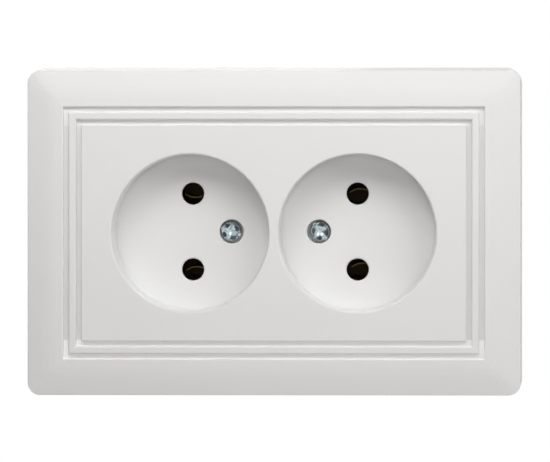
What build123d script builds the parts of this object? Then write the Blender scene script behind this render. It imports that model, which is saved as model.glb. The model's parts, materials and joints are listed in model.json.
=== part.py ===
from build123d import *
from math import atan, cos, degrees, radians, sin, sqrt, tan
import os

# Double wall socket. Millimetres. The wall is the plane y = 0, the room lies towards -Y, Z is up,
# and the origin is the middle of the wall box that the socket is screwed to.

# Frame: outline at the wall, and section measured inwards from the outline
frame_width = 123.8
frame_height = 82.2
corner_radius = 3.0
face_height = 13.8
side_flare = 1.05
band_width = 9.0
crown_radius = 26.0
crown_slope = 12.0
lip_drop = 0.2
lip_rounding = 0.3
edge_rounding = 0.3
groove_width = 1.24
groove_depth = 1.2
strip_width = 1.94
strip_rounding = 0.5
ledge_width = 2.2
frame_wall = 2.0
ledge_thickness = 1.8
flange_thickness = 1.5
flange_drop = 1.4

# Cover: panel, recesses, pin holes and screw wells
panel_rounding = 0.3
panel_thickness = 2.4
skirt_thickness = 1.5
skirt_drop = 2.0
seat_clearance = 0.25
recess_pitch = 41.2
recess_radius = 19.4
recess_depth = 9.5
rim_rounding = 0.5
floor_rounding = 0.8
floor_thickness = 1.4
cup_wall = 1.5
pin_pitch = 19.0
pin_length = 19.0
pin_hole_radius = 2.65
pin_hole_chamfer = 0.35
cover_screw_pitch = 22.4
well_depth = 3.2
well_clearance = 0.4
well_shift = 0.3
well_chamfer = 0.2
boss_wall = 1.2
boss_floor = 1.2

# Screws
cover_head_radius = 2.6
cover_head_height = 1.9
cover_thread_radius = 1.7
cover_screw_length = 10.0
terminal_head_radius = 3.0
terminal_head_height = 2.0
terminal_thread_radius = 1.7
terminal_screw_length = 6.0
claw_head_radius = 3.2
claw_head_height = 2.2
claw_thread_radius = 1.5
cover_slot_turns = (160, 128)
terminal_slot_turn = 30
claw_slot_turn = 45
recess_slot_width = 0.85
recess_slot_depth = 0.6
recess_cross_depth = 1.1
recess_cross_share = 0.62
head_chamfer = 0.35
thread_clearance = 0.06
hole_clearance = 0.3

# Support plate
plate_width = 71.0
plate_gap = 3.6
plate_corner = 6.0
plate_thickness = 1.0
fixing_pitch = 60.0
fixing_slot_radius = 2.1
fixing_slot_length = 7.0

# Insulating base and its rear cover
base_width = 55.2
base_height = 41.0
base_radius = 28.6
nose_step_x = 2.3
nose_step_z = 5.5
nose_corner = 6.0
nose_clearance = 0.3
entry_radius = 3.2
entry_wall = 4.0
cavity_size = 7.8
pocket_width = 9.4
pocket_front = 6.9
rear_cover_thickness = 1.6
channel_clearance = 0.2
boss_clearance = 0.3

# Contacts and bus strips
contact_radius = 2.55
contact_mouth_radius = 3.0
contact_thickness = 0.8
contact_leaf_width = 2.9
contact_web_width = 6.0
contact_front = 2.0
contact_flare = 2.0
pin_tip_clearance = 0.5
rivet_radius = 1.25
rivet_head_radius = 2.2
rivet_head_height = 0.8
rivet_tail_height = 0.6
bus_thickness = 1.0
bus_width = 7.4
bus_end = 3.4
rear_clearance = 0.3

# Terminals
terminal_offset = 11.2
terminal_depth = 12.0
tab_step = 0.8
tab_width = 7.5
tab_front = 7.5
clamp_width = 8.4
clamp_length = 7.8
clamp_thickness = 1.2
clamp_travel = 2.6
contact_gap = 0.05
wire_window_width = 8.9
wire_window_wall = 0.9

# Long rivets through plate, base and rear cover
stack_rivet_edge = 2.7
stack_rivet_rim = 2.2
stack_rivet_radius = 1.4
stack_head_radius = 2.3
stack_head_height = 0.9

# Threaded inserts for the cover screws
insert_radius = 3.0
insert_length = 7.6
insert_gap = 0.3
screw_tip_clearance = 1.6

# Claws, top and bottom
claw_width = 9.2
claw_thickness = 1.2
claw_pivot_depth = 8.0
claw_gap = 0.5
claw_hub_radius = 1.8
claw_pin_radius = 1.0
claw_pin_head_radius = 1.6
claw_pin_head = 0.5
claw_running_clearance = 0.05
claw_heel_reach = 6.2
claw_arm_reach = 10.2
claw_tip_reach = 2.6
claw_lever = 4.2
claw_slot_width = 4.0
claw_teeth = 3
tooth_depth = 1.0
lug_thickness = 1.0
lug_clearance = 0.3
lug_width = 3.6
nut_radius = 2.3
nut_length = 8.0

# How closely a corner or circle is matched when it is picked by its place
match_tolerance = 1e-4

# Heights above the wall, towards the room
lip_height = face_height - lip_drop
crown_run = crown_radius * sin(radians(crown_slope))
crown_fall = crown_radius * (1 - cos(radians(crown_slope)))
edge_height = lip_height - crown_fall - (band_width - crown_run) * tan(radians(crown_slope))
flare_angle = degrees(atan(side_flare / edge_height))
ledge_height = face_height - groove_depth
panel_underside = face_height - panel_thickness
floor_height = face_height - recess_depth
cup_underside = floor_height - floor_thickness
well_floor = floor_height - well_depth
boss_foot = well_floor - boss_floor
skirt_foot = panel_underside - skirt_drop
flange_foot = ledge_height - ledge_thickness - flange_drop

# Depths behind the wall
pin_tip_depth = pin_length - floor_height
web_front = pin_tip_depth + pin_tip_clearance + rivet_head_height
bus_front = web_front + contact_thickness
bus_back = bus_front + bus_thickness
base_depth = bus_back + rivet_tail_height + rear_clearance
rear_face = base_depth + rear_cover_thickness
cavity_front = entry_wall - cup_underside
insert_front = -boss_foot + boss_clearance

# Widths and places across the wall
plate_height = frame_height - 2 * (frame_wall + plate_gap)
nose_width = base_width - 2 * nose_step_x
nose_height = base_height - 2 * nose_step_z
terminal_height = (pin_pitch + bus_width) / 2 + tab_step
stack_rivet_z = base_height / 2 - stack_rivet_edge
stack_rivet_x = sqrt((base_radius - stack_rivet_rim) ** 2 - stack_rivet_z**2)
claw_pivot_height = base_height / 2 + claw_gap + claw_hub_radius
claw_screw_height = claw_pivot_height + claw_lever
lug_inner = claw_width / 2 + lug_clearance
lip_edge = side_flare + band_width
strip_outer = lip_edge + groove_width
strip_inner = strip_outer + strip_width
panel_edge = strip_inner + groove_width
ledge_inner = panel_edge + ledge_width
panel_width = frame_width - 2 * panel_edge
panel_height = frame_height - 2 * panel_edge
spigot_width = frame_width - 2 * (ledge_inner + seat_clearance)
spigot_height = frame_height - 2 * (ledge_inner + seat_clearance)
well_radius = cover_head_radius + well_clearance
contact_outer = contact_radius + contact_thickness
clamp_seat = terminal_height + bus_thickness + contact_gap
screw_seat = clamp_seat + clamp_thickness + contact_gap
wire_window_foot = terminal_height + bus_thickness + channel_clearance
wire_window_height = base_height / 2 - wire_window_wall - wire_window_foot

recess_places = [(-recess_pitch / 2, 0), (recess_pitch / 2, 0)]
pin_places = [
    (x, z)
    for x in (-recess_pitch / 2, recess_pitch / 2)
    for z in (-pin_pitch / 2, pin_pitch / 2)
]
cover_screw_places = [(-cover_screw_pitch / 2, 0), (cover_screw_pitch / 2, 0)]
well_places = [
    (well_shift - cover_screw_pitch / 2, 0),
    (cover_screw_pitch / 2 - well_shift, 0),
]
stack_rivet_places = [
    (x, z)
    for x in (-stack_rivet_x, stack_rivet_x)
    for z in (-stack_rivet_z, stack_rivet_z)
]


def front(height):
    """Plane parallel to the wall, height in front of it, drawn as seen from the room."""
    return Plane.XZ.offset(height)


def behind(depth):
    """Plane parallel to the wall, depth behind it."""
    return Plane.XZ.offset(-depth)


def outward(x, y, z, side):
    """Plane at a point above (side 1) or below (side -1) the middle, facing away from the middle."""
    return Plane(origin=(x, y, side * z), x_dir=(1, 0, 0), z_dir=(0, 0, side))


def circles(part, radius, height):
    """Circular edges of one radius that lie at one height above the wall."""
    return part.edges().filter_by(
        lambda e: e.geom_type == GeomType.CIRCLE
        and abs(e.radius - radius) < match_tolerance
        and abs(e.center().Y + height) < match_tolerance
    )


def save(builder, name):
    """Label one finished piece and write it under its name."""
    builder.part.label = name
    export_step(builder.part, f"parts/{name}.step")


def base_outline(margin=0.0):
    """Outline of the insulating base: a block with its corners cut to the round wall box."""
    Rectangle(base_width - 2 * margin, base_height - 2 * margin)
    Circle(base_radius - margin, mode=Mode.INTERSECT)


def make_screw(seat, head_radius, head_height, shank_radius, shank_length, turn):
    """Pan-head screw with a slot and a cross. seat is the plane under its head."""
    crown = seat.offset(head_height)
    cross_length = 2 * head_radius * recess_cross_share
    with BuildPart() as screw:
        with BuildSketch(seat):
            Circle(head_radius)
        extrude(amount=head_height)
        top = screw.edges().filter_by(GeomType.CIRCLE).sort_by(Axis(seat.origin, seat.z_dir))[-1]
        chamfer(top, head_chamfer)
        with BuildSketch(seat):
            Circle(shank_radius)
        extrude(amount=-shank_length)
        with BuildSketch(crown):
            Rectangle(3 * head_radius, recess_slot_width, rotation=turn)
        extrude(amount=-recess_slot_depth, mode=Mode.SUBTRACT)
        with BuildSketch(crown):
            Rectangle(cross_length, recess_slot_width, rotation=turn)
            Rectangle(cross_length, recess_slot_width, rotation=turn + 90)
        extrude(amount=-recess_cross_depth, mode=Mode.SUBTRACT)
    return screw


def make_contact(x, z):
    """Split sleeve contact: two curved leaves with flared mouths on a riveted web."""
    back = web_front + contact_thickness
    throat = contact_front + contact_flare
    with BuildPart() as contact:
        with BuildSketch(Plane.YZ.offset(x)):
            with BuildLine():
                Polyline(
                    (contact_front, z + contact_mouth_radius),
                    (throat, z + contact_radius),
                    (back, z + contact_radius),
                    (back, z + contact_outer),
                    (throat, z + contact_outer),
                    (contact_front, z + contact_mouth_radius + contact_thickness),
                    close=True,
                )
            make_face()
        revolve(axis=Axis((x, 0, z), (0, 1, 0)))
        with BuildSketch(behind(back)):
            with Locations((x, z)):
                Rectangle(contact_leaf_width, 4 * contact_outer)
        extrude(amount=back, mode=Mode.INTERSECT)
        with BuildSketch(behind(back)):
            with Locations((x, z)):
                Rectangle(contact_web_width, 2 * contact_outer)
                Circle(rivet_radius, mode=Mode.SUBTRACT)
        extrude(amount=contact_thickness)
    return contact


def make_bus(side):
    """Bus strip that joins the two contacts of one pole, with two tabs bent up for the terminals."""
    centre = side * pin_pitch / 2
    edge = pin_pitch / 2 + bus_width / 2
    rise = terminal_height + bus_thickness - edge
    with BuildPart() as bus:
        with BuildSketch(behind(bus_back)):
            with Locations((0, centre)):
                Rectangle(recess_pitch + 2 * bus_end, bus_width)
            for x in (-terminal_offset, terminal_offset):
                with Locations((x, side * (edge + rise / 2))):
                    Rectangle(tab_width, rise)
            with Locations((-recess_pitch / 2, centre), (recess_pitch / 2, centre)):
                Circle(rivet_radius, mode=Mode.SUBTRACT)
        extrude(amount=bus_thickness)
        with BuildSketch(outward(0, 0, terminal_height, side)):
            for x in (-terminal_offset, terminal_offset):
                with Locations((x, side * (tab_front + bus_back) / 2)):
                    Rectangle(tab_width, bus_back - tab_front)
                with Locations((x, side * terminal_depth)):
                    Circle(terminal_thread_radius + thread_clearance, mode=Mode.SUBTRACT)
        extrude(amount=bus_thickness)
    return bus


def make_clamp(x, side):
    """Clamp plate that the terminal screw presses on the wire."""
    with BuildPart() as clamp:
        with BuildSketch(outward(x, terminal_depth, clamp_seat, side)):
            Rectangle(clamp_width, clamp_length)
            Circle(terminal_thread_radius + hole_clearance, mode=Mode.SUBTRACT)
        extrude(amount=clamp_thickness)
    return clamp


def make_claw(side):
    """Claw that grips the wall box: forked heel for the screw, hub, and toothed arm."""
    y0 = claw_pivot_depth
    z0 = claw_pivot_height
    half = claw_thickness / 2
    floor = z0 - claw_hub_radius
    arm_end = y0 + claw_arm_reach
    with BuildPart() as claw:
        with BuildSketch(Plane.YZ):
            with BuildLine():
                Polyline(
                    (y0 - half, side * floor),
                    (arm_end, side * floor),
                    (arm_end, side * (floor + claw_thickness + claw_tip_reach)),
                    (arm_end - claw_thickness, side * (floor + claw_thickness + claw_tip_reach)),
                    (arm_end - claw_thickness, side * (floor + claw_thickness)),
                    (y0 + half, side * (floor + claw_thickness)),
                    (y0 + half, side * (z0 + claw_heel_reach)),
                    (y0 - half, side * (z0 + claw_heel_reach)),
                    close=True,
                )
            make_face()
            with Locations((y0, side * z0)):
                Circle(claw_hub_radius)
                Circle(claw_pin_radius + claw_running_clearance, mode=Mode.SUBTRACT)
        extrude(amount=claw_width / 2, both=True)
        with BuildSketch(behind(y0)):
            with Locations((0, side * (z0 + claw_lever))):
                Circle(claw_slot_width / 2)
            with Locations((0, side * (z0 + claw_lever + claw_heel_reach / 2))):
                Rectangle(claw_slot_width, claw_heel_reach)
        extrude(amount=claw_thickness, both=True, mode=Mode.SUBTRACT)
        with BuildSketch(Plane.XY.offset(side * floor)):
            with Locations((0, y0 + claw_arm_reach / 2)):
                Rectangle(claw_slot_width, claw_arm_reach / 2)
        extrude(amount=side * claw_thickness, mode=Mode.SUBTRACT)
        pitch = claw_width / claw_teeth
        with BuildSketch(behind(arm_end)):
            tip = side * (floor + claw_thickness + claw_tip_reach)
            for i in range(claw_teeth - 1):
                x = (i + 1) * pitch - claw_width / 2
                with BuildLine():
                    Polyline(
                        (x - pitch / 2, tip),
                        (x, tip - side * tooth_depth),
                        (x + pitch / 2, tip),
                        close=True,
                    )
                make_face()
        extrude(amount=claw_thickness, mode=Mode.SUBTRACT)
    return claw


def make_claw_nut(side):
    """Barrel nut that the claw screw draws forwards against the heel of the claw."""
    centre_depth = claw_pivot_depth + claw_thickness / 2 + nut_radius + contact_gap
    centre_height = side * (claw_pivot_height + claw_lever)
    with BuildPart() as nut:
        with BuildSketch(Plane.YZ):
            with Locations((centre_depth, centre_height)):
                Circle(nut_radius)
        extrude(amount=nut_length / 2, both=True)
        with BuildSketch(behind(centre_depth)):
            with Locations((0, centre_height)):
                Circle(claw_thread_radius + thread_clearance)
        extrude(amount=2 * nut_radius, both=True, mode=Mode.SUBTRACT)
    return nut


def make_claw_pin(side):
    """Pivot pin of a claw, headed over outside both lugs."""
    reach = claw_width / 2 + lug_clearance + lug_thickness
    with BuildPart() as pin:
        with BuildSketch(Plane.YZ):
            with Locations((claw_pivot_depth, side * claw_pivot_height)):
                Circle(claw_pin_radius)
        extrude(amount=reach, both=True)
        for x in (reach, -reach - claw_pin_head):
            with BuildSketch(Plane.YZ.offset(x)):
                with Locations((claw_pivot_depth, side * claw_pivot_height)):
                    Circle(claw_pin_head_radius)
            extrude(amount=claw_pin_head)
    return pin


os.makedirs("parts", exist_ok=True)

# Frame: one section swept round the outline with mitred corners, then cut to its rounded corners
with BuildPart() as frame:
    with BuildLine(Plane.XZ) as outline:
        Polyline(
            (0, -frame_height / 2),
            (frame_width / 2, -frame_height / 2),
            (frame_width / 2, frame_height / 2),
            (-frame_width / 2, frame_height / 2),
            (-frame_width / 2, -frame_height / 2),
            (0, -frame_height / 2),
        )
    section_plane = Plane(origin=(0, 0, -frame_height / 2), x_dir=(0, 0, 1), z_dir=(1, 0, 0))
    with BuildSketch(section_plane) as section:
        crown_start = (lip_edge, lip_height)
        crown_end = (lip_edge - crown_run, lip_height - crown_fall)
        with BuildLine():
            Polyline((0, 0), (side_flare, edge_height), crown_end)
            TangentArc(crown_start, crown_end, tangent=(-1, 0))
            Polyline(
                crown_start,
                (lip_edge, ledge_height),
                (strip_outer, ledge_height),
                (strip_outer, face_height),
                (strip_inner, face_height),
                (strip_inner, ledge_height),
                (ledge_inner, ledge_height),
                (ledge_inner, flange_foot),
                (ledge_inner - flange_thickness, flange_foot),
                (ledge_inner - flange_thickness, ledge_height - ledge_thickness),
                (strip_outer, ledge_height - ledge_thickness),
                (side_flare + frame_wall, edge_height - frame_wall),
                (frame_wall, 0),
                (0, 0),
            )
        make_face()
        lip = section.vertices().filter_by(
            lambda v: abs(v.X - lip_edge) < match_tolerance and v.Y > ledge_height + match_tolerance
        )
        fillet(lip, lip_rounding)
        strip = section.vertices().filter_by(lambda v: v.Y > face_height - match_tolerance)
        fillet(strip, strip_rounding)
        edge = section.vertices().filter_by(
            lambda v: abs(v.X - side_flare) < match_tolerance
            and abs(v.Y - edge_height) < match_tolerance
        )
        fillet(edge, edge_rounding)
    sweep(path=outline.wires()[0], transition=Transition.RIGHT)
    with BuildSketch(Plane.XZ):
        RectangleRounded(frame_width, frame_height, corner_radius + side_flare)
    extrude(amount=2 * face_height, taper=flare_angle, mode=Mode.INTERSECT)
save(frame, "frame")

# Cover: panel on the frame's ledge, with two cups, four pin holes and two screw wells
with BuildPart() as cover:
    with BuildSketch(front(ledge_height)):
        Rectangle(panel_width, panel_height)
    extrude(amount=face_height - ledge_height)
    with BuildSketch(front(panel_underside)):
        Rectangle(spigot_width, spigot_height)
    extrude(amount=ledge_height - panel_underside)
    with BuildSketch(front(skirt_foot)):
        Rectangle(spigot_width, spigot_height)
        Rectangle(
            spigot_width - 2 * skirt_thickness,
            spigot_height - 2 * skirt_thickness,
            mode=Mode.SUBTRACT,
        )
    extrude(amount=panel_underside - skirt_foot)
    with BuildSketch(front(cup_underside)):
        with Locations(*recess_places):
            Circle(recess_radius + cup_wall)
    extrude(amount=panel_underside - cup_underside)
    with BuildSketch(front(boss_foot)):
        with Locations(*well_places):
            Circle(well_radius + boss_wall)
    extrude(amount=cup_underside - boss_foot)
    with BuildSketch(front(floor_height)):
        with Locations(*recess_places):
            Circle(recess_radius)
    extrude(amount=recess_depth, mode=Mode.SUBTRACT)
    with BuildSketch(front(well_floor)):
        with Locations(*well_places):
            Circle(well_radius)
    extrude(amount=well_depth, mode=Mode.SUBTRACT)
    with BuildSketch(front(boss_foot)):
        with Locations(*cover_screw_places):
            Circle(cover_thread_radius + hole_clearance)
    extrude(amount=boss_floor, mode=Mode.SUBTRACT)
    with BuildSketch(front(cup_underside)):
        with Locations(*pin_places):
            Circle(pin_hole_radius)
    extrude(amount=floor_thickness, mode=Mode.SUBTRACT)
    fillet(circles(cover, recess_radius, floor_height), floor_rounding)
    fillet(circles(cover, recess_radius, face_height), rim_rounding)
    chamfer(circles(cover, pin_hole_radius, floor_height), pin_hole_chamfer)
    chamfer(circles(cover, well_radius, floor_height), well_chamfer)
    panel_face = cover.faces().sort_by(Axis.Y)[0]
    fillet(panel_face.outer_wire().edges(), panel_rounding)
save(cover, "cover")

# Cover screws, their recesses left at the angles where they came to rest
for name, place, turn in zip(
    ("cover_screw_left", "cover_screw_right"), cover_screw_places, cover_slot_turns
):
    seat = Plane(origin=(place[0], -well_floor, place[1]), x_dir=(1, 0, 0), z_dir=(0, -1, 0))
    cover_screw = make_screw(
        seat, cover_head_radius, cover_head_height, cover_thread_radius, cover_screw_length, turn
    )
    save(cover_screw, name)

# Support plate: fixing slots left and right, lugs bent back at top and bottom for the claws
with BuildPart() as support_plate:
    with BuildSketch(front(0)):
        RectangleRounded(plate_width, plate_height, plate_corner)
        RectangleRounded(
            nose_width + 2 * nose_clearance,
            nose_height + 2 * nose_clearance,
            nose_corner + nose_clearance,
            mode=Mode.SUBTRACT,
        )
        with Locations((-fixing_pitch / 2, 0), (fixing_pitch / 2, 0)):
            SlotOverall(fixing_slot_length, 2 * fixing_slot_radius, mode=Mode.SUBTRACT)
        with Locations(*stack_rivet_places):
            Circle(stack_rivet_radius + thread_clearance, mode=Mode.SUBTRACT)
        with Locations((0, claw_screw_height), (0, -claw_screw_height)):
            Circle(claw_thread_radius + hole_clearance, mode=Mode.SUBTRACT)
    extrude(amount=plate_thickness)
    for side in (1, -1):
        for x in (lug_inner, -lug_inner - lug_thickness):
            with BuildSketch(Plane.YZ.offset(x)):
                with Locations((claw_pivot_depth / 2, side * claw_pivot_height)):
                    Rectangle(claw_pivot_depth, lug_width)
                with Locations((claw_pivot_depth, side * claw_pivot_height)):
                    Circle(lug_width / 2)
                    Circle(claw_pin_radius + thread_clearance, mode=Mode.SUBTRACT)
            extrude(amount=lug_thickness)
save(support_plate, "support_plate")

# Base: body behind the plate, nose through the plate's window up to the underside of the cups
with BuildPart() as base:
    with BuildSketch(behind(base_depth)):
        base_outline()
    extrude(amount=base_depth)
    with BuildSketch(front(0)):
        RectangleRounded(nose_width, nose_height, nose_corner)
    extrude(amount=cup_underside)
    with BuildSketch(front(cup_underside)):
        with Locations(*pin_places):
            Circle(entry_radius)
    extrude(amount=-entry_wall, mode=Mode.SUBTRACT)
    with BuildSketch(behind(base_depth)):
        with Locations(*pin_places):
            Rectangle(cavity_size, cavity_size)
    extrude(amount=base_depth - cavity_front, mode=Mode.SUBTRACT)
    channel_inner = pin_pitch / 2 - bus_width / 2 - channel_clearance
    channel_outer = terminal_height + bus_thickness + channel_clearance
    with BuildSketch(behind(base_depth)):
        for side in (1, -1):
            with Locations((0, side * (channel_inner + channel_outer) / 2)):
                Rectangle(
                    recess_pitch + 2 * (bus_end + channel_clearance), channel_outer - channel_inner
                )
    extrude(amount=base_depth - bus_front + channel_clearance, mode=Mode.SUBTRACT)
    pocket_floor = terminal_height - channel_clearance
    with BuildSketch(behind(base_depth)):
        for side in (1, -1):
            for x in (-terminal_offset, terminal_offset):
                with Locations((x, side * (pocket_floor + base_height / 4))):
                    Rectangle(pocket_width, base_height / 2)
    extrude(amount=base_depth - pocket_front, mode=Mode.SUBTRACT)
    for side in (1, -1):
        for x in (-terminal_offset, terminal_offset):
            with BuildSketch(outward(x, terminal_depth, pocket_floor, side)):
                Circle(terminal_thread_radius + hole_clearance)
            extrude(amount=-terminal_screw_length, mode=Mode.SUBTRACT)
    with BuildSketch(front(cup_underside)):
        with Locations(*well_places):
            Circle(well_radius + boss_wall + boss_clearance)
    extrude(amount=-cup_underside - insert_front, mode=Mode.SUBTRACT)
    with BuildSketch(behind(insert_front)):
        with Locations(*cover_screw_places):
            Circle(insert_radius + thread_clearance)
    extrude(amount=-insert_length, mode=Mode.SUBTRACT)
    with BuildSketch(behind(insert_front)):
        with Locations(*cover_screw_places):
            Circle(cover_thread_radius + hole_clearance)
    extrude(amount=-insert_length - screw_tip_clearance, mode=Mode.SUBTRACT)
    with BuildSketch(behind(base_depth)):
        with Locations(*stack_rivet_places):
            Circle(stack_rivet_radius + thread_clearance)
    extrude(amount=base_depth, mode=Mode.SUBTRACT)
save(base, "base")

# Rear cover: closes the cavities, with one window for the wires at each terminal
with BuildPart() as rear_cover:
    with BuildSketch(behind(rear_face)):
        base_outline()
        for side in (1, -1):
            for x in (-terminal_offset, terminal_offset):
                with Locations((x, side * (wire_window_foot + wire_window_height / 2))):
                    Rectangle(wire_window_width, wire_window_height, mode=Mode.SUBTRACT)
        with Locations(*stack_rivet_places):
            Circle(stack_rivet_radius + thread_clearance, mode=Mode.SUBTRACT)
    extrude(amount=rear_cover_thickness)
save(rear_cover, "rear_cover")

# Long rivets that hold support plate, base and rear cover together
with BuildPart() as stack_rivets:
    with BuildSketch(behind(rear_face)):
        with Locations(*stack_rivet_places):
            Circle(stack_rivet_radius)
    extrude(amount=rear_face + plate_thickness)
    with BuildSketch(front(plate_thickness)):
        with Locations(*stack_rivet_places):
            Circle(stack_head_radius)
    extrude(amount=stack_head_height)
    with BuildSketch(behind(rear_face)):
        with Locations(*stack_rivet_places):
            Circle(stack_head_radius)
    extrude(amount=-stack_head_height)
save(stack_rivets, "stack_rivets")

# Live bus and its contacts at the top, neutral at the bottom
for side, pole in ((1, "live"), (-1, "neutral")):
    save(make_bus(side), f"{pole}_bus")
    for x, end in ((-recess_pitch / 2, "left"), (recess_pitch / 2, "right")):
        save(make_contact(x, side * pin_pitch / 2), f"{pole}_contact_{end}")

# Rivets that join the contacts to the bus strips
with BuildPart() as contact_rivets:
    with BuildSketch(behind(bus_back)):
        with Locations(*pin_places):
            Circle(rivet_radius)
    extrude(amount=bus_back - web_front)
    with BuildSketch(behind(web_front)):
        with Locations(*pin_places):
            Circle(rivet_head_radius)
    extrude(amount=rivet_head_height)
    with BuildSketch(behind(bus_back)):
        with Locations(*pin_places):
            Circle(rivet_head_radius)
    extrude(amount=-rivet_tail_height)
save(contact_rivets, "contact_rivets")

# Threaded inserts for the cover screws
for name, place in zip(("insert_left", "insert_right"), cover_screw_places):
    with BuildPart() as insert:
        with BuildSketch(behind(insert_front + insert_length)):
            with Locations(place):
                Circle(insert_radius)
                Circle(cover_thread_radius + thread_clearance, mode=Mode.SUBTRACT)
        extrude(amount=insert_length)
    save(insert, name)

# Terminals: a clamp plate and a screw at each end of each bus
for side, pole in ((1, "live"), (-1, "neutral")):
    for x, end in ((-terminal_offset, "left"), (terminal_offset, "right")):
        save(make_clamp(x, side), f"{pole}_clamp_{end}")
        terminal_screw = make_screw(
            outward(x, terminal_depth, screw_seat, side),
            terminal_head_radius,
            terminal_head_height,
            terminal_thread_radius,
            terminal_screw_length,
            terminal_slot_turn,
        )
        save(terminal_screw, f"{pole}_terminal_screw_{end}")

# Claws: pin, claw, screw through the plate, and barrel nut behind the heel
nut_back = claw_pivot_depth + claw_thickness / 2 + contact_gap + 2 * nut_radius
for side, end in ((1, "top"), (-1, "bottom")):
    save(make_claw(side), f"claw_{end}")
    save(make_claw_pin(side), f"claw_pin_{end}")
    save(make_claw_nut(side), f"claw_nut_{end}")
    seat = Plane(
        origin=(0, -plate_thickness, side * claw_screw_height), x_dir=(1, 0, 0), z_dir=(0, -1, 0)
    )
    claw_screw = make_screw(
        seat,
        claw_head_radius,
        claw_head_height,
        claw_thread_radius,
        plate_thickness + nut_back,
        claw_slot_turn,
    )
    save(claw_screw, f"claw_screw_{end}")
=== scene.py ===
import json
import math
import bmesh
import bpy
from mathutils import Matrix, Vector

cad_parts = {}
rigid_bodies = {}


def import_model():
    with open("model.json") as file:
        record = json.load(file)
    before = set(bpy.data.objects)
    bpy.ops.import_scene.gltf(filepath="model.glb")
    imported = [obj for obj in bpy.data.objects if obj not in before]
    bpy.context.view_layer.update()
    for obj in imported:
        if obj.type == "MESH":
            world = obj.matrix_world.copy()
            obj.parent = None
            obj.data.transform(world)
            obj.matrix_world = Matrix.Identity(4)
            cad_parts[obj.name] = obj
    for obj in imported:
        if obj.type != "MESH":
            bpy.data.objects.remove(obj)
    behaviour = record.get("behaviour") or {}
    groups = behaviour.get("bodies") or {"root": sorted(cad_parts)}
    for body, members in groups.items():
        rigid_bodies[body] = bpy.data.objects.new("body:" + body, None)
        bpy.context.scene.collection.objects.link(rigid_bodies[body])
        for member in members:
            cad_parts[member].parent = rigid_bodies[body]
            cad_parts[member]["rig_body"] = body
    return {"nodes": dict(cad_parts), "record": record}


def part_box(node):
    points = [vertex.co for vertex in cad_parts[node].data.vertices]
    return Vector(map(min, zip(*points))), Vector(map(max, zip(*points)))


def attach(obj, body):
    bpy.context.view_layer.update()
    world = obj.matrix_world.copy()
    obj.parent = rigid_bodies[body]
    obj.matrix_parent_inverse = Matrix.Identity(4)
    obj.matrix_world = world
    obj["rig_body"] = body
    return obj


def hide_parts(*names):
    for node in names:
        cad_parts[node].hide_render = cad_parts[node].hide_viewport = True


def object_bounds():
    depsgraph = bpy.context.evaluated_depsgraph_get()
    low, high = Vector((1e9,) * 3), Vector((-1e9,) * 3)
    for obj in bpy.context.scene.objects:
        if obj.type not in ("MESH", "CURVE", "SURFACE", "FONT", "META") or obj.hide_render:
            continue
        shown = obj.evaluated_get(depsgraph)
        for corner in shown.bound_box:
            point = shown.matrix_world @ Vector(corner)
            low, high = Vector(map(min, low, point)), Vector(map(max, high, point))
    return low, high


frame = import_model()
cad_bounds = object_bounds()
nodes = frame["nodes"]
record = frame["record"]

MM = 0.001

# Camera: level, up and to the right of the middle of the socket, turned slightly to the left
FACE_DISTANCE = 594.2 * MM
CAMERA_RIGHT = 26.7 * MM
CAMERA_UP = 23.3 * MM
AXIS_LEFT = 7.4 * MM
PICTURE_WIDTH = 550
FOCAL_PIXELS = 2416
SENSOR_WIDTH = 36.0
SHIFT_LEFT = 0.14
SHIFT_DOWN = 0.1683

# Lamps: degrees to the right, degrees up, distance, width, height, watts. Scattered light is warm.
LAMPS = {
    "key": (45, 30, 0.4, 0.26, 0.2, 0.64),
    "upper": (-15, 45, 0.3, 0.195, 0.15, 0.455),
    "front": (0, 5, 0.6, 0.4, 0.3, 0.29),
    "rear right": (145, 35, 0.7, 0.4, 0.4, 0.7),
    "rear left": (-165, 5, 0.7, 0.4, 0.3, 1.1),
}
AMBIENT = 0.097
AMBIENT_COLOUR = (1.0, 0.8, 0.6, 1.0)

# Stage
FLOOR_DROP = 70 * MM
FLOOR_SIZE = 8.0
NEAR_FLOOR = 0.22
FAR_FLOOR = 0.38
NEAR_GLOW = 0.5

# Sizes of the socket that the finishes follow
SMOOTH_ANGLE = math.radians(30)
MERGE_DISTANCE = 0.002 * MM
SIDE_FLARE = 1.05 * MM
BAND_WIDTH = 9.0 * MM
LIP_HEIGHT = 13.6 * MM
CROWN_RADIUS = 26.0 * MM
CROWN_SLOPE = math.radians(12)
CROWN_FOOT = 11.9 * MM
MITRE_SOFTNESS = 4.5 * MM
MITRE_CUTS = 4
SHEET_BEVEL = 0.12 * MM
MOUTH_DEPTH = 2.4 * MM

# Pin holes of the cover: their places, the range of radii of their edges, and how much they are widened
PIN_PLACES = [(x * MM, z * MM) for x in (-20.6, 20.6) for z in (-9.5, 9.5)]
PIN_HOLE_EDGES = (2.6 * MM, 3.05 * MM)
PIN_HOLE_GAIN = 0.14 * MM

# Horizontal grooves, which are painted lighter inside as painted light that takes out much of their
# shade:
# depth, lower, upper and side limits, each as a soft edge, and how much less the upper grooves are
# lightened
GROOVE_DEPTH = (-13.5 * MM, -13.1 * MM)
GROOVE_START = (26.2 * MM, 26.6 * MM)
GROOVE_END = (31.1 * MM, 31.3 * MM)
GROOVE_SIDE = (51.8 * MM, 51.9 * MM)
UPPER_GROOVE_CUT = 0.55

# Floors of the cups, whose shading rises towards the bottom: depth limits, height limits and slope
CUP_FLOOR_START = (-5.1 * MM, -4.4 * MM)
CUP_FLOOR_END = (-4.29 * MM, -4.25 * MM)
CUP_FLOOR_RISE = (-19 * MM, -4 * MM)
CUP_FLOOR_SLOPE = 0.18

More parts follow.
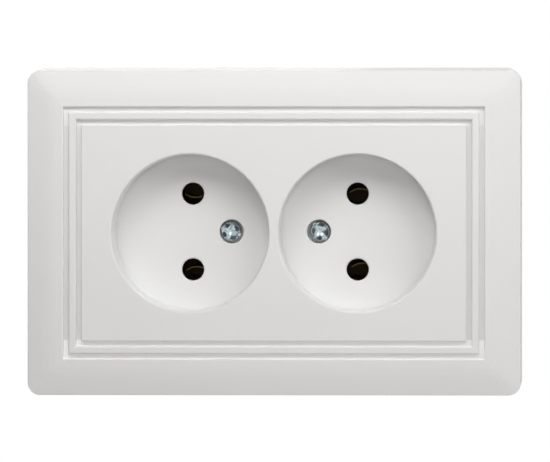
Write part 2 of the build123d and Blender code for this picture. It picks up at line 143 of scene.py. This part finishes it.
# Inner spring leaves of the contacts: depths behind the wall, and for each leaf how far its line's
# centre lies to the right of and above the pin, with the way that it arches
LEAF_FRONT = 2.2 * MM
LEAF_BACK = 15.2 * MM
LEAF_THICKNESS = 0.25 * MM
LEAF_RADIUS = 4.1 * MM
LEAF_SPREAD = math.radians(80)
LEAF_STEPS = 24
LEAVES = {
    "live_contact_left": (0.2 * MM, 3.0 * MM, -1),
    "neutral_contact_left": (0.5 * MM, -3.7 * MM, 1),
    "live_contact_right": (0.6 * MM, -3.0 * MM, 1),
    "neutral_contact_right": (1.1 * MM, -2.8 * MM, 1),
}

# Hidden screws: height of the head and pitch of the thread
TERMINAL_HEAD = 2.0 * MM
TERMINAL_PITCH = 0.6 * MM
CLAW_SCREW_HEAD = 2.2 * MM
CLAW_SCREW_PITCH = 0.5 * MM

# Painted light and shade on the heads of the cover screws, in millimetres from the screw's axis: a
# cross painted lighter, dark spots as painted reflections and white painted glints
ARM_EDGE = (0.15, 0.5)
ARM_END = (1.5, 1.9)
DARK_REFLECTION_RADIUS = 1.7
DARK_REFLECTION_LENGTH = 0.5
DARK_REFLECTION_WIDTH = 0.8
RIM_EDGE = (2.2, 2.35)
GLINT_EDGE = (0.2, 0.5)
# for each cover screw: the turn of its slot in degrees, and the places of its painted glints, small
# painted highlights
COVER_SCREWS = {
    "cover_screw_left": (160, [(-0.2, -0.6)]),
    "cover_screw_right": (128, [(-0.55, -0.7), (0.4, -0.75)]),
}


class Value:
    """A node output that takes part in Python arithmetic: each operator adds a Math node."""

    def __init__(self, shader, socket):
        self.shader = shader
        self.socket = socket

    def math(self, operation, *others):
        return self.shader.node("ShaderNodeMath", {"operation": operation}, [self, *others])

    def __add__(self, other):
        return self.math("ADD", other)

    def __radd__(self, other):
        return self.math("ADD", other)

    def __sub__(self, other):
        return self.math("SUBTRACT", other)

    def __rsub__(self, other):
        return self.shader.node("ShaderNodeMath", {"operation": "SUBTRACT"}, [other, self])

    def __mul__(self, other):
        return self.math("MULTIPLY", other)

    def __rmul__(self, other):
        return self.math("MULTIPLY", other)

    def __truediv__(self, other):
        return self.math("DIVIDE", other)


class Shader:
    """The nodes of a material or of the world, and the calls that dress its main shader."""

    def __init__(self, owner, surface):
        self.material = owner
        self.tree = owner.node_tree
        self.surface = self.tree.nodes[surface]

    def node(self, kind, settings, inputs, output=0):
        """Add a node. inputs is a list or a dictionary of values, colours or other nodes' outputs."""
        made = self.tree.nodes.new(kind)
        for key, value in settings.items():
            setattr(made, key, value)
        pairs = inputs.items() if isinstance(inputs, dict) else enumerate(inputs)
        for key, value in pairs:
            self.feed(made.inputs[key], value)
        return Value(self, made.outputs[output])

    def feed(self, socket, value):
        if isinstance(value, Value):
            self.tree.links.new(value.socket, socket)
        else:
            socket.default_value = value

    def set(self, **values):
        for key, value in values.items():
            self.feed(self.surface.inputs[key.replace("_", " ")], value)

    def place(self, move=(0, 0, 0), turn=(0, 0, 0), stretch=(1, 1, 1)):
        """Object coordinates, moved, turned and stretched."""
        origin = self.node("ShaderNodeTexCoord", {}, [], "Object")
        return self.node(
            "ShaderNodeMapping",
            {},
            {"Vector": origin, "Location": move, "Rotation": turn, "Scale": stretch},
        )

    def noise(self, where, size, detail=3.0, rough=0.5):
        """Noise from 0 to 1 with features of about that size in metres."""
        return self.node(
            "ShaderNodeTexNoise",
            {},
            {"Vector": where, "Scale": 1 / size, "Detail": detail, "Roughness": rough},
            "Fac",
        )

    def cells(self, where, size, output="Distance"):
        return self.node(
            "ShaderNodeTexVoronoi", {}, {"Vector": where, "Scale": 1 / size}, output
        )

    def band(self, value, low, high):
        """0 below low, 1 above high, smooth between."""
        return self.node(
            "ShaderNodeMapRange",
            {"interpolation_type": "SMOOTHSTEP"},
            {"Value": value, "From Min": low, "From Max": high},
        )

    def blend(self, factor, first, second):
        return self.node(
            "ShaderNodeMix",
            {"data_type": "RGBA"},
            {0: factor, 6: first, 7: second},
            2,
        )

    def relief(self, height, depth, strength=1.0):
        """Bump of that depth in metres."""
        return self.node(
            "ShaderNodeBump",
            {},
            {"Height": height, "Distance": depth, "Strength": strength},
            "Normal",
        )


def rgba(red, green, blue):
    return (red, green, blue, 1.0)


def painted(name):
    """A new material with one Principled shader."""
    material = bpy.data.materials.new(name)
    material.use_nodes = True
    return Shader(material, "Principled BSDF")


def white_plastic(name, cups=False):
    """Moulded white plastic: satin, with a very fine grain, faint flow marks, and painted light in the
    horizontal grooves that takes out much of their shade.

    With cups, the floors of the two cups and the fillets round them shade as one surface, which
    rises a little towards the bottom.
    """
    paint = painted(name)
    here = paint.place()
    flow = paint.noise(here, 22 * MM, 2.0)
    grain = paint.noise(here, 0.32 * MM, 2.0)
    right, depth, up = [
        paint.node("ShaderNodeSeparateXYZ", {}, {"Vector": here}, letter) for letter in "XYZ"
    ]
    level = up.math("ABSOLUTE")
    # painted light: the horizontal grooves are painted lighter, which takes out much of the shade that
    # falls in them, less in the upper ones
    groove_painted_shading = paint.band(level, *GROOVE_START) * (1 - paint.band(level, *GROOVE_END))
    groove_painted_shading = groove_painted_shading * (1 - paint.band(right.math("ABSOLUTE"), *GROOVE_SIDE))
    groove_painted_shading = groove_painted_shading * paint.band(depth, *GROOVE_DEPTH)
    groove_painted_shading = groove_painted_shading * (1 - UPPER_GROOVE_CUT * paint.band(up, -MM, MM))
    plain = paint.blend(flow, rgba(0.785, 0.787, 0.792), rgba(0.805, 0.807, 0.812))
    normal = paint.relief(grain, 0.004 * MM, 0.5)
    if cups:
        floor = paint.band(depth, *CUP_FLOOR_START) * (1 - paint.band(depth, *CUP_FLOOR_END))
        tilt = CUP_FLOOR_SLOPE * (1 - paint.band(up, *CUP_FLOOR_RISE))
        rising = paint.node("ShaderNodeCombineXYZ", {}, {"X": 0.0, "Y": -1.0, "Z": tilt})
        normal = paint.blend(floor, normal, rising)
    paint.set(
        Base_Color=paint.blend(groove_painted_shading, plain, rgba(0.97, 0.97, 0.97)),
        Roughness=0.36 + 0.08 * grain,
        Normal=normal,
        Specular_IOR_Level=0.2,
    )
    return paint.material


def dark_insulator():
    """Dark moulded insulator, slightly speckled by its filler."""
    paint = painted("dark moulded insulator")
    here = paint.place()
    filler = paint.noise(here, 0.5 * MM, 4.0, 0.7)
    flow = paint.noise(here, 9 * MM, 3.0)
    speck = paint.band(filler, 0.62, 0.74)
    ground = paint.blend(flow, rgba(0.036, 0.027, 0.016), rgba(0.06, 0.045, 0.028))
    paint.set(
        Base_Color=paint.blend(speck, ground, rgba(0.09, 0.072, 0.055)),
        Roughness=0.42 + 0.2 * filler,
        Normal=paint.relief(filler, 0.02 * MM, 0.5),
    )
    return paint.material


def pressed_board():
    """Pressed board with short fibres and a dull surface."""
    paint = painted("pressed fibre board")
    fibres = paint.noise(paint.place(stretch=(0.18, 1, 1)), 0.45 * MM, 5.0, 0.65)
    cross = paint.noise(paint.place(stretch=(1, 1, 0.2)), 0.5 * MM, 4.0, 0.6)
    cloud = paint.noise(paint.place(), 7 * MM, 3.0)
    both = 0.5 * fibres + 0.5 * cross
    ground = paint.blend(cloud, rgba(0.085, 0.045, 0.022), rgba(0.14, 0.078, 0.038))
    paint.set(
        Base_Color=paint.blend(paint.band(both, 0.35, 0.7), ground, rgba(0.19, 0.115, 0.06)),
        Roughness=0.6 + 0.2 * both,
        Normal=paint.relief(both, 0.05 * MM, 0.6),
    )
    return paint.material


def zinc_sheet():
    """Zinc plated sheet: faint crystals, rolling lines and cloudy patches."""
    paint = painted("zinc plated sheet")
    here = paint.place()
    crystals = paint.cells(here, 2.4 * MM, "Color")
    level = paint.node("ShaderNodeSeparateColor", {}, {"Color": crystals}, "Red")
    rolled = paint.noise(paint.place(stretch=(1, 1, 0.05)), 0.25 * MM, 3.0)
    cloud = paint.noise(here, 6 * MM, 4.0)
    tone = 0.45 * level + 0.55 * cloud
    paint.set(
        Base_Color=paint.blend(tone, rgba(0.46, 0.47, 0.49), rgba(0.66, 0.67, 0.68)),
        Metallic=1.0,
        Roughness=0.3 + 0.16 * cloud + 0.08 * rolled,
        Normal=paint.relief(rolled, 0.008 * MM, 0.5),
    )
    return paint.material


def brass():
    """Rolled brass, a little darkened with age."""
    paint = painted("aged rolled brass")
    here = paint.place()
    cloud = paint.noise(here, 3.5 * MM, 4.0, 0.6)
    lines = paint.noise(paint.place(stretch=(0.06, 1, 1)), 0.3 * MM, 3.0)
    tarnish = paint.band(cloud, 0.45, 0.75)
    paint.set(
        Base_Color=paint.blend(tarnish, rgba(0.72, 0.47, 0.17), rgba(0.42, 0.25, 0.09)),
        Metallic=1.0,
        Roughness=0.26 + 0.2 * cloud + 0.06 * lines,
        Normal=paint.relief(lines, 0.006 * MM, 0.5),
    )
    return paint.material


def tarnished_brass():
    """Brass of the contacts: bright only at their mouths, brown and dull deeper in the base."""
    paint = painted("tarnished contact brass")
    here = paint.place()
    cloud = paint.noise(here, 2.2 * MM, 4.0, 0.65)
    lines = paint.noise(paint.place(stretch=(1, 0.08, 1)), 0.25 * MM, 3.0)
    depth = paint.node("ShaderNodeSeparateXYZ", {}, {"Vector": here}, "Y")
    deep = paint.band(depth, MOUTH_DEPTH, MOUTH_DEPTH + 1.2 * MM)
    worn = paint.blend(cloud, rgba(0.12, 0.085, 0.024), rgba(0.07, 0.048, 0.014))
    paint.set(
        Base_Color=paint.blend(deep, worn, rgba(0.12, 0.085, 0.045)),
        Metallic=0.85,
        Roughness=0.34 + 0.2 * cloud + 0.2 * deep,
        Normal=paint.relief(lines, 0.006 * MM, 0.5),
    )
    return paint.material


def bright_screw(name, centre, axis, thread_pitch, seat):
    """Bright zinc plated screw: turned rings on its head, and a thread below the seat whose grooves are
    painted darker as painted shade.

    centre is a point on the screw's axis, axis 1 or 2 for Y or Z, and seat the place of the
    head's underside along it, with its sign telling which way the head points.
    """
    paint = painted(name)
    here = paint.place(move=[-c for c in centre])
    parts = [
        paint.node("ShaderNodeSeparateXYZ", {}, {"Vector": here}, letter) for letter in "XYZ"
    ]
    along = parts.pop(axis)
    radius = (parts[0] * parts[0] + parts[1] * parts[1]).math("SQRT")
    angle = parts[0].math("ARCTAN2", parts[1]) / math.tau
    rings = (radius * (math.tau / (0.22 * MM))).math("SINE")
    turn = (along / thread_pitch + angle).math("FRACT")
    ridge = (turn - 0.5).math("ABSOLUTE") * 2
    shank = paint.band(along * seat, -0.25 * MM, -0.1 * MM)
    height = shank * (0.06 * rings) + (1 - shank) * ridge
    cloud = paint.noise(here, 1.6 * MM, 4.0)
    # painted shade: the grooves of the thread are painted darker, where shade falls between the ridges
    groove_painted_shading = (1 - shank) * (1 - ridge)
    ground = paint.blend(cloud, rgba(0.56, 0.60, 0.66), rgba(0.74, 0.77, 0.81))
    paint.set(
        Base_Color=paint.blend(groove_painted_shading * 0.6, ground, rgba(0.2, 0.21, 0.22)),
        Metallic=1.0,
        Roughness=0.24 + 0.18 * cloud,
        Normal=paint.relief(height, 0.22 * MM, 0.8),
    )
    return paint.material


def cover_screw_finish(name, centre, turn, glints):
    """Head of a cover screw: worn plating, a lighter rim, a cross painted lighter as a painted
    highlight, and four dark spots around the cross painted as dark reflections.

    centre is a point on the screw's axis, turn the angle of the slot in degrees, and glints are the
    places of the painted glints, small painted highlights, in millimetres to the right and up.
    """
    paint = painted(name)
    here = paint.place(move=[-c for c in centre])
    right = paint.node("ShaderNodeSeparateXYZ", {}, {"Vector": here}, "X") / MM
    up = paint.node("ShaderNodeSeparateXYZ", {}, {"Vector": here}, "Z") / MM
    cosine = math.cos(math.radians(turn))
    sine = math.sin(math.radians(turn))
    along = (right * cosine + up * sine).math("ABSOLUTE")
    across = (up * cosine - right * sine).math("ABSOLUTE")
    radius = (right * right + up * up).math("SQRT")
    # painted highlight: the cross of the slot is painted lighter, as if it caught the light
    painted_arm_light = 1 - paint.band(along.math("MINIMUM", across), *ARM_EDGE)
    painted_arm_light = painted_arm_light * (1 - paint.band(radius, *ARM_END))
    # painted reflection: four dark spots around the cross stand in for the dark surroundings mirrored
    # in the flat head
    outwards = ((along + across) / math.sqrt(2) - DARK_REFLECTION_RADIUS) / DARK_REFLECTION_LENGTH
    sideways = (along - across) / (math.sqrt(2) * DARK_REFLECTION_WIDTH)
    painted_dark_reflections = 1 - paint.band(outwards * outwards + sideways * sideways, 0.5, 1.3)
    rim = paint.band(radius, *RIM_EDGE)
    cloud = paint.noise(here, 0.6 * MM, 4.0)
    sparkle = paint.band(paint.noise(here, 0.9 * MM, 2.0), 0.4, 0.6)
    tone = paint.blend(sparkle, rgba(0.09, 0.12, 0.14), rgba(0.42, 0.52, 0.55))
    tone = paint.blend(rim, tone, rgba(0.36, 0.38, 0.38))
    tone = paint.blend(painted_arm_light * 0.6, tone, rgba(0.5, 0.56, 0.58))
    tone = paint.blend(painted_dark_reflections * 0.9, tone, rgba(0.03, 0.022, 0.026))
    # painted highlights: small white glints where the lamps would shine in the recess
    for place in glints:
        gap_right = right - place[0]
        gap_up = up - place[1]
        near = 1 - paint.band((gap_right * gap_right + gap_up * gap_up).math("SQRT"), *GLINT_EDGE)
        tone = paint.blend(near, tone, rgba(1.0, 1.0, 1.0))
    paint.set(
        Base_Color=tone,
        Metallic=1.0,
        Roughness=0.3 + 0.2 * cloud,
        Normal=paint.relief(cloud, 0.02 * MM, 0.5),
    )
    return paint.material


def crown_height(inset):
    """Height of the crowned band at that distance inwards from its outer edge."""
    run = CROWN_RADIUS * math.sin(CROWN_SLOPE)
    from_lip = BAND_WIDTH - inset
    if from_lip < run:
        return LIP_HEIGHT - CROWN_RADIUS + math.sqrt(CROWN_RADIUS**2 - from_lip**2)
    fall = CROWN_RADIUS * (1 - math.cos(CROWN_SLOPE))
    return LIP_HEIGHT - fall - (from_lip - run) * math.tan(CROWN_SLOPE)


def soften_mitres(shape):
    """Round the ridges where the crowned bands of the frame meet, less and less towards the lip."""
    low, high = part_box("frame")
    half_width = (high.x - low.x) / 2 - SIDE_FLARE
    half_height = (high.z - low.z) / 2 - SIDE_FLARE

    def insets(vertex):
        return half_width - abs(vertex.co.x), half_height - abs(vertex.co.z)

    def crowned(vertex):
        return -vertex.co.y > CROWN_FOOT and min(insets(vertex)) < BAND_WIDTH + MERGE_DISTANCE

    for side_x in (-1, 1):
        for side_z in (-1, 1):
            corner = Vector((side_x * half_width, 0, side_z * half_height))
            across = Vector((side_x, 0, -side_z)).normalized()
            for cut in range(-MITRE_CUTS, MITRE_CUTS + 1):
                faces = [
                    face
                    for face in shape.faces
                    if all(crowned(v) for v in face.verts)
                    and any(side_x * v.co.x > 0 and side_z * v.co.z > 0 for v in face.verts)
                ]
                near = set(faces)
                near.update(edge for face in faces for edge in face.edges)
                near.update(vertex for face in faces for vertex in face.verts)
                offset = cut / MITRE_CUTS * MITRE_SOFTNESS / math.sqrt(2)
                bmesh.ops.bisect_plane(
                    shape, geom=list(near), plane_co=corner + offset * across, plane_no=across
                )
    for vertex in shape.verts:
        if crowned(vertex):
            across, up = insets(vertex)
            inset = max(0.0, min(across, up))
            softness = MITRE_SOFTNESS * (1 - inset / BAND_WIDTH)
            if softness > abs(across - up):
                blend = (softness - abs(across - up)) / softness
                rounded = max(0.0, inset - blend**2 * softness / 4)
                vertex.co.y += crown_height(inset) - crown_height(rounded)


def widen_pin_holes(shape):
    """Move the edges of the cover's pin holes a little outwards."""
    for vertex in shape.verts:
        for place in PIN_PLACES:
            outwards = Vector((vertex.co.x - place[0], 0, vertex.co.z - place[1]))
            if PIN_HOLE_EDGES[0] < outwards.length < PIN_HOLE_EDGES[1]:
                vertex.co += PIN_HOLE_GAIN * outwards.normalized()


def dressed(name, material, bevel=0.0):
    """A finished copy of a CAD node: joined, smoothed up to its edges and coated with material."""
    source = nodes[name]
    mesh = source.data.copy()
    mesh.name = name + "_finish"
    shape = bmesh.new()
    shape.from_mesh(mesh)
    bmesh.ops.remove_doubles(shape, verts=shape.verts, dist=MERGE_DISTANCE)
    bmesh.ops.dissolve_degenerate(shape, edges=shape.edges, dist=MERGE_DISTANCE)
    if name == "frame":
        soften_mitres(shape)
    elif name == "cover":
        widen_pin_holes(shape)
    for face in shape.faces:
        face.smooth = True
    for edge in shape.edges:
        edge.smooth = len(edge.link_faces) == 2 and edge.calc_face_angle() < SMOOTH_ANGLE
    shape.to_mesh(mesh)
    shape.free()
    mesh.materials.clear()
    mesh.materials.append(material)
    piece = bpy.data.objects.new(name + "_finish", mesh)
    bpy.context.scene.collection.objects.link(piece)
    if bevel:
        edges = piece.modifiers.new("edge", "BEVEL")
        edges.width = bevel
        edges.segments = 2
        edges.limit_method = "ANGLE"
        edges.angle_limit = SMOOTH_ANGLE
    even = piece.modifiers.new("even shading", "WEIGHTED_NORMAL")
    even.keep_sharp = True
    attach(piece, source["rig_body"])
    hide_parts(name)
    return piece


slot_of = {part["node"]: part["material_slot"] for part in record["subparts"]}
finishes = {
    "white_plastic": white_plastic("satin white plastic"),
    "dark_insulator": dark_insulator(),
    "brown_board": pressed_board(),
    "zinc_steel": zinc_sheet(),
    "brass": brass(),
}
contact_finish = tarnished_brass()
cover_finish = white_plastic("satin white plastic of the cover", cups=True)
bevels = {"zinc_steel": SHEET_BEVEL, "brown_board": SHEET_BEVEL}
for name in sorted(nodes):
    low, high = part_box(name)
    middle = (low + high) / 2
    if name in COVER_SCREWS:
        turn, glints = COVER_SCREWS[name]
        dressed(name, cover_screw_finish("bright screw " + name, middle, turn, glints))
    elif slot_of[name] == "bright_steel":
        if "terminal" in name:
            head_side = 1 if middle.z > 0 else -1
            seat = (high.z if head_side > 0 else low.z) - head_side * TERMINAL_HEAD
            screw = ((middle.x, middle.y, seat), 2, TERMINAL_PITCH, head_side)
        else:
            screw = ((middle.x, low.y + CLAW_SCREW_HEAD, middle.z), 1, CLAW_SCREW_PITCH, -1)
        dressed(name, bright_screw("bright screw " + name, *screw))
    elif name == "cover":
        dressed(name, cover_finish)
    elif "contact" in name or "bus" in name:
        dressed(name, contact_finish)
    else:
        dressed(name, finishes[slot_of[name]], bevels.get(slot_of[name], 0.0))


def spring_leaf(name):
    """Curved inner leaf of a contact, which stands on its rivet and shows through the pin hole."""
    low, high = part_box(name)
    middle = (low + high) / 2
    right, up, arch = LEAVES[name]
    shape = bmesh.new()
    bmesh.ops.create_grid(shape, x_segments=1, y_segments=1, size=0.5)
    bmesh.ops.scale(shape, verts=shape.verts, vec=(LEAF_THICKNESS, LEAF_BACK - LEAF_FRONT, 1))
    bmesh.ops.translate(
        shape, verts=shape.verts, vec=(LEAF_RADIUS, (LEAF_FRONT + LEAF_BACK) / 2, 0)
    )
    bmesh.ops.spin(
        shape,
        geom=shape.verts[:] + shape.edges[:] + shape.faces[:],
        cent=(0, 0, 0),
        axis=(0, 1, 0),
        angle=LEAF_SPREAD,
        steps=LEAF_STEPS,
    )
    centring = Matrix.Rotation(-(arch * math.pi + LEAF_SPREAD) / 2, 3, "Y")
    bmesh.ops.rotate(shape, verts=shape.verts, cent=(0, 0, 0), matrix=centring)
    bmesh.ops.translate(shape, verts=shape.verts, vec=(middle.x + right, 0, middle.z + up))
    bmesh.ops.recalc_face_normals(shape, faces=shape.faces)
    mesh = bpy.data.meshes.new(name + "_leaf")
    shape.to_mesh(mesh)
    shape.free()
    mesh.materials.append(contact_finish)
    piece = bpy.data.objects.new(name + "_leaf", mesh)
    bpy.context.scene.collection.objects.link(piece)
    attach(piece, nodes[name]["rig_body"])


for name in LEAVES:
    spring_leaf(name)


def softbox(name, right, up, distance, width, height, power):
    """Rectangular lamp that faces the middle of the socket and isn't seen itself."""
    light = bpy.data.lights.new(name, "AREA")
    light.shape = "RECTANGLE"
    light.size = width
    light.size_y = height
    light.energy = power
    lamp = bpy.data.objects.new(name, light)
    right = math.radians(right)
    up = math.radians(up)
    outwards = Vector((math.sin(right) * math.cos(up), -math.cos(right) * math.cos(up), math.sin(up)))
    lamp.location = distance * outwards
    lamp.rotation_euler = outwards.to_track_quat("Z", "Y").to_euler()
    lamp.visible_camera = False
    bpy.context.scene.collection.objects.link(lamp)


def seen_directly(shader):
    """1 for what the camera sees, directly or in a gloss or through glass, 0 for scattered light."""
    kinds = [
        shader.node("ShaderNodeLightPath", {}, [], "Is " + kind + " Ray")
        for kind in ("Camera", "Glossy", "Transmission")
    ]
    return kinds[0].math("MAXIMUM", kinds[1]).math("MAXIMUM", kinds[2])


for name, (right, up, distance, width, height, power) in LAMPS.items():
    softbox(name, right, up, distance, width, height, power)

world = bpy.data.worlds.new("studio")
bpy.context.scene.world = world
world.use_nodes = True
sky = Shader(world, "Background")
seen = seen_directly(sky)
sky.set(Color=sky.blend(seen, AMBIENT_COLOUR, rgba(1, 1, 1)), Strength=AMBIENT + (1 - AMBIENT) * seen)


def pale_floor():
    """Pale floor: plain paint near the socket, melting into the white backdrop further away."""
    paint = painted("pale floor")
    paint.set(Base_Color=rgba(0.86, 0.86, 0.86), Roughness=0.9, Specular_IOR_Level=0.1)
    reach = paint.node("ShaderNodeVectorMath", {"operation": "LENGTH"}, [paint.place()], "Value")
    far = paint.band(reach, NEAR_FLOOR, FAR_FLOOR)
    glow = paint.node("ShaderNodeEmission", {}, {"Color": rgba(1, 1, 1), "Strength": 1.0})
    share = seen_directly(paint) * (NEAR_GLOW + (1 - NEAR_GLOW) * far)
    plain = Value(paint, paint.surface.outputs[0])
    mixed = paint.node("ShaderNodeMixShader", {}, [share, plain, glow])
    paint.feed(paint.tree.nodes["Material Output"].inputs["Surface"], mixed)
    return paint.material


floor_shape = bmesh.new()
bmesh.ops.create_grid(floor_shape, x_segments=1, y_segments=1, size=FLOOR_SIZE / 2)
floor_level = cad_bounds[0].z - FLOOR_DROP
bmesh.ops.translate(floor_shape, verts=floor_shape.verts, vec=(0, 0, floor_level))
floor_mesh = bpy.data.meshes.new("floor")
floor_shape.to_mesh(floor_mesh)
floor_shape.free()
floor_mesh.materials.append(pale_floor())
floor = bpy.data.objects.new("floor", floor_mesh)
bpy.context.scene.collection.objects.link(floor)

lens = bpy.data.cameras.new("camera")
lens.sensor_width = SENSOR_WIDTH
lens.lens = FOCAL_PIXELS * SENSOR_WIDTH / PICTURE_WIDTH
lens.shift_x = -SHIFT_LEFT
lens.shift_y = -SHIFT_DOWN
camera = bpy.data.objects.new("camera", lens)
camera.location = (CAMERA_RIGHT, cad_bounds[0].y - FACE_DISTANCE, CAMERA_UP)
view = Vector((-AXIS_LEFT, FACE_DISTANCE, 0))
camera.rotation_euler = view.to_track_quat("-Z", "Y").to_euler()
bpy.context.scene.collection.objects.link(camera)
bpy.context.scene.camera = camera
bpy.context.scene.view_settings.view_transform = "Standard"
